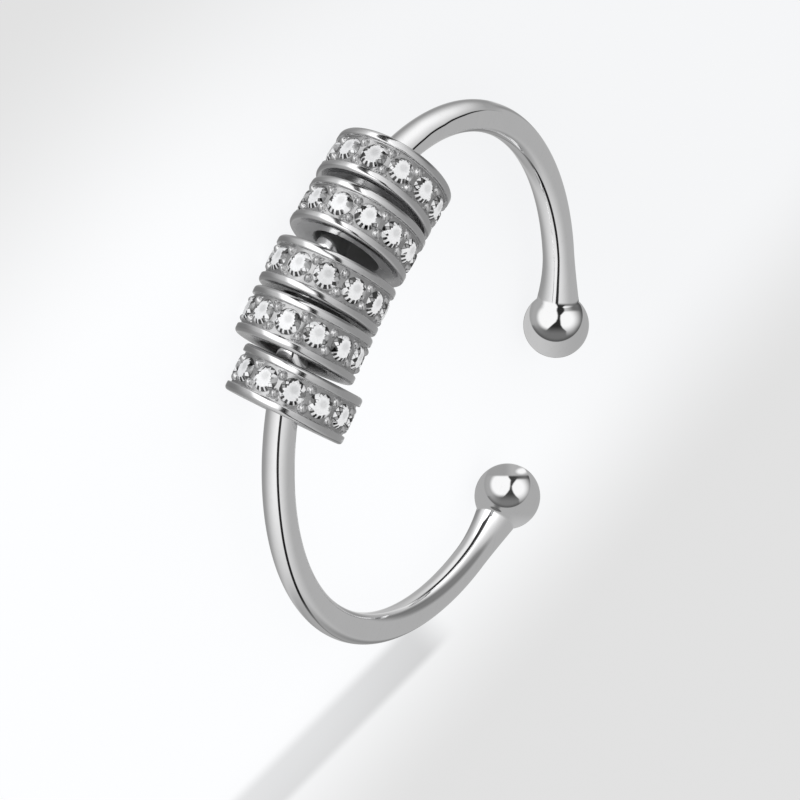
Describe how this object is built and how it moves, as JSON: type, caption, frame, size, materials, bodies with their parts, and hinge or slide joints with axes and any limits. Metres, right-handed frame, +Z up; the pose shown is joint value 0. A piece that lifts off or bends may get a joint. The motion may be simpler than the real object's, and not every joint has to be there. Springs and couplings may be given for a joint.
{
  "type": "spinner ring",
  "caption": "Open round-wire ring with ball ends and stone-set rondelle beads that spin loose on the wire.",
  "frame": {"origin": "on the resting surface, under the middle of the band, in the finger hole", "axes": "+Z up out of the finger hole, the beads lie towards -Y and the mouth opens towards +Y"},
  "size_m": [0.0198, 0.0222, 0.0047],
  "materials": {
    "band_metal": "mirror-polished rhodium over silver",
    "bead_metal": "mirror-polished rhodium over silver, hand-worked grain beads in the channel",
    "stone": "clear round brilliants, sharp polished facets"
  },
  "bodies": {
    "band": {"band": "band_metal"},
    "spinner_1": {"bead_1": "bead_metal", "stones_1": "stone"},
    "spinner_2": {"bead_2": "bead_metal", "stones_2": "stone"},
    "spinner_3": {"bead_3": "bead_metal", "stones_3": "stone"},
    "spinner_4": {"bead_4": "bead_metal", "stones_4": "stone"},
    "spinner_5": {"bead_5": "bead_metal", "stones_5": "stone"}
  },
  "joints": [
    {"name": "spin_1", "type": "hinge", "parent": "band", "child": "spinner_1", "pos_m": [-0.00585, -0.00727, 0.00228], "axis": [0.9025, -0.4283, -0.0454], "continuous": true},
    {"name": "spin_2", "type": "hinge", "parent": "band", "child": "spinner_2", "pos_m": [-0.00407, -0.00813, 0.00229], "axis": [0.9321, -0.3568, -0.0629], "continuous": true},
    {"name": "spin_3", "type": "hinge", "parent": "band", "child": "spinner_3", "pos_m": [-0.00197, -0.0091, 0.00231], "axis": [0.975, -0.2035, -0.0888], "continuous": true},
    {"name": "spin_4", "type": "hinge", "parent": "band", "child": "spinner_4", "pos_m": [-0.00011, -0.00972, 0.00231], "axis": [0.9824, -0.1601, -0.0959], "continuous": true},
    {"name": "spin_5", "type": "hinge", "parent": "band", "child": "spinner_5", "pos_m": [0.00193, -0.00935, 0.00234], "axis": [0.9833, -0.1094, -0.1455], "continuous": true}
  ]
}
